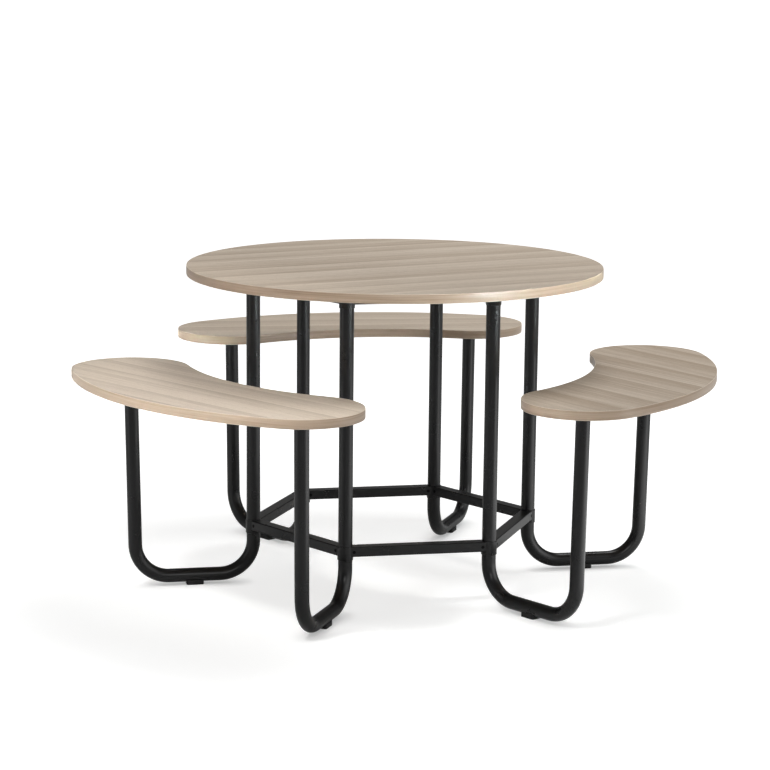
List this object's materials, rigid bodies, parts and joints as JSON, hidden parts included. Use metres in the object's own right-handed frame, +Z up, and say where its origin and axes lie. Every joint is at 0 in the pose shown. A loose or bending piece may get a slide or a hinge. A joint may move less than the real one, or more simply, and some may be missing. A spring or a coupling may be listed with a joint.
{
  "type": "round table with attached benches",
  "caption": "Round laminate high table with kidney-shaped bench seats attached round it, on bent steel tube legs joined by two hexagonal ring frames.",
  "frame": {"origin": "on the floor, under the middle of the whole object's footprint; the table's own axis stands at x = 0, y = -0.050 m", "axes": "+Z up; +Y towards one bench; the other two benches point to 210 and 330 degrees, counted anticlockwise from +X as seen from above"},
  "size_m": [1.866, 1.7609, 0.926],
  "materials": {
    "laminate": "wood-effect laminate, matt, pale brown boards",
    "edge_band": "wood-effect edge band, matt, warmer than the boards",
    "powder_coat": "black powder coat, semi-matt",
    "pad_plastic": "black moulded plastic, matt",
    "black_screw": "black countersunk screws",
    "zinc_screw": "zinc-plated screws"
  },
  "bodies": {
    "root": {"tabletop_board": "laminate", "tabletop_edge_band": "edge_band", "seat_board_1": "laminate", "seat_board_2": "laminate", "seat_board_3": "laminate", "seat_edge_band_1": "edge_band", "seat_edge_band_2": "edge_band", "seat_edge_band_3": "edge_band", "leg_tube_1": "powder_coat", "leg_tube_2": "powder_coat", "leg_tube_3": "powder_coat", "leg_tube_4": "powder_coat", "leg_tube_5": "powder_coat", "leg_tube_6": "powder_coat", "lower_collar_1": "powder_coat", "lower_collar_2": "powder_coat", "lower_collar_3": "powder_coat", "lower_collar_4": "powder_coat", "lower_collar_5": "powder_coat", "lower_collar_6": "powder_coat", "upper_collar_1": "powder_coat", "upper_collar_2": "powder_coat", "upper_collar_3": "powder_coat", "upper_collar_4": "powder_coat", "upper_collar_5": "powder_coat", "upper_collar_6": "powder_coat", "lower_bar_1": "powder_coat", "lower_bar_2": "powder_coat", "lower_bar_3": "powder_coat", "lower_bar_4": "powder_coat", "lower_bar_5": "powder_coat", "lower_bar_6": "powder_coat", "upper_bar_1": "powder_coat", "upper_bar_2": "powder_coat", "upper_bar_3": "powder_coat", "upper_bar_4": "powder_coat", "upper_bar_5": "powder_coat", "upper_bar_6": "powder_coat", "foot_pad_1": "pad_plastic", "foot_pad_2": "pad_plastic", "foot_pad_3": "pad_plastic", "foot_pad_4": "pad_plastic", "foot_pad_5": "pad_plastic", "foot_pad_6": "pad_plastic", "table_plate_1": "powder_coat", "table_plate_2": "powder_coat", "table_plate_3": "powder_coat", "table_plate_4": "powder_coat", "table_plate_5": "powder_coat", "table_plate_6": "powder_coat", "seat_plate_1": "powder_coat", "seat_plate_2": "powder_coat", "seat_plate_3": "powder_coat", "seat_plate_4": "powder_coat", "seat_plate_5": "powder_coat", "seat_plate_6": "powder_coat", "ring_screws": "black_screw", "tabletop_screws": "zinc_screw", "seat_screws": "zinc_screw"}
  },
  "joints": []
}
